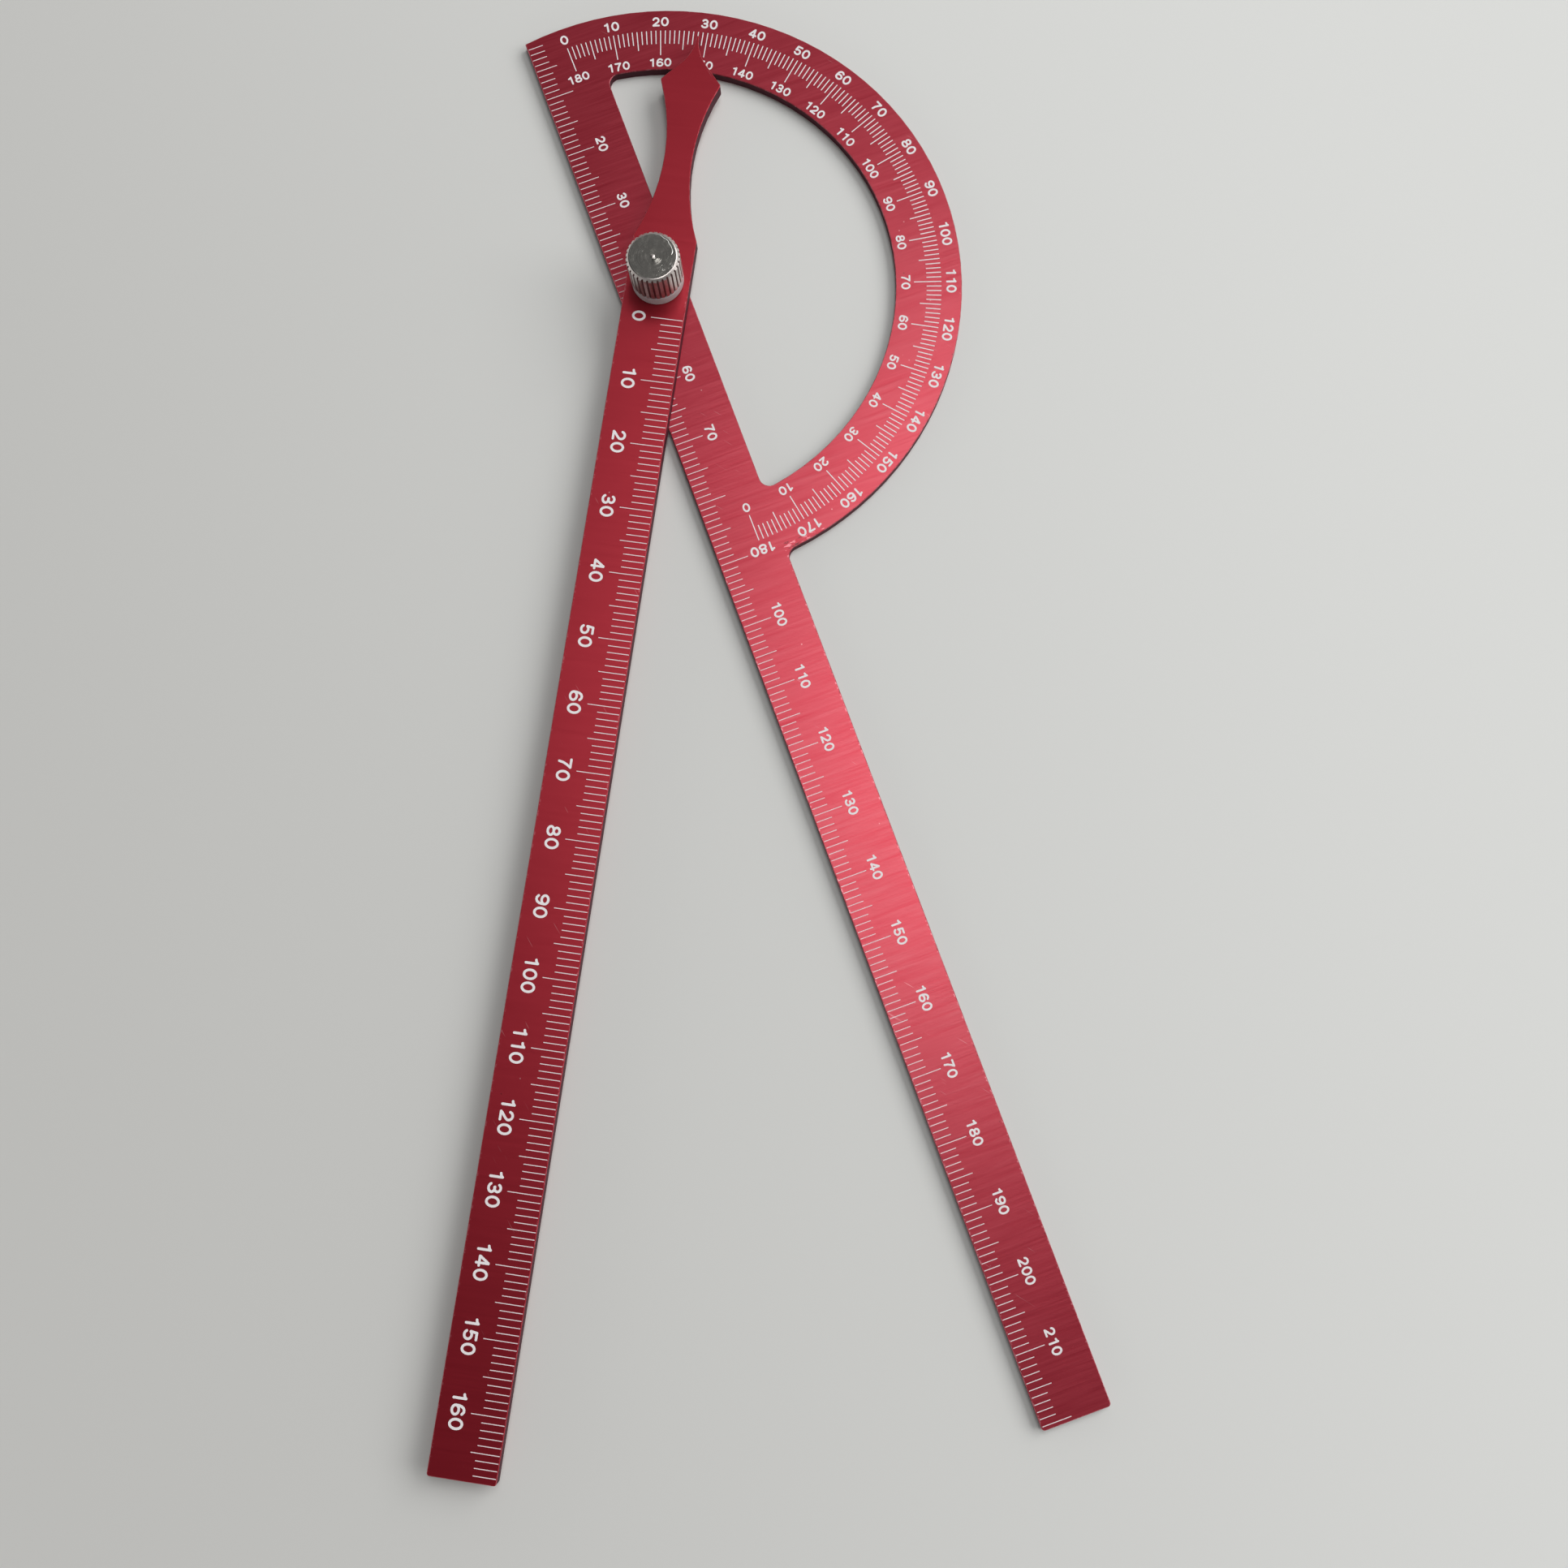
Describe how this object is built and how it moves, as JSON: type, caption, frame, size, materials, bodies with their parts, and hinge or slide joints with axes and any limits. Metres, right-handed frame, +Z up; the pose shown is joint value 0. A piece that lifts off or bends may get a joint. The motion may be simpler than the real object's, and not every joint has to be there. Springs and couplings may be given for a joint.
{
  "type": "angle finder with arms",
  "caption": "Flat anodised protractor on a ruler leg with a turning pointer arm, held at its pivot by a knurled nut over a nylon washer.",
  "frame": {"origin": "on the pivot axis, in the underside of the protractor plate", "axes": "+X along the ruler leg to its long end, +Y from the pivot to the top of the protractor's ring, +Z up from the underside to the nut"},
  "size_m": [0.2212, 0.133, 0.0122],
  "materials": {
    "anodised_red": "red anodised, satin, with fine brushing across the ruler leg",
    "nickel_plate": "bright nickel plating over a turned and straight-knurled nut",
    "stud_steel": "plain bright steel",
    "white_nylon": "natural nylon, matte and slightly translucent",
    "scale_white": "white print of the scales' marks and numerals, in the visual model only"
  },
  "bodies": {
    "protractor": {"protractor_base": "anodised_red", "pivot_stud": "stud_steel"},
    "arm": {"pointer_arm": "anodised_red"},
    "washer": {"knob_washer": "white_nylon"},
    "knob": {"clamp_knob": "nickel_plate"}
  },
  "joints": [
    {"name": "arm_swing", "type": "hinge", "parent": "protractor", "child": "arm", "pos_m": [0, 0, 0.0028], "axis": [0, 0, 1], "continuous": true},
    {"name": "knob_lift", "type": "slide", "parent": "protractor", "child": "washer", "axis": [0, 0, 1], "range_m": [0, 0.001]},
    {"name": "knob_turn", "type": "hinge", "parent": "washer", "child": "knob", "pos_m": [0, 0, 0.009], "axis": [0, 0, 1], "range_deg": [0, 720]}
  ],
  "couplings": [
    {"joint": "knob_turn", "follows": "knob_lift", "rad_per_m": 12566}
  ]
}
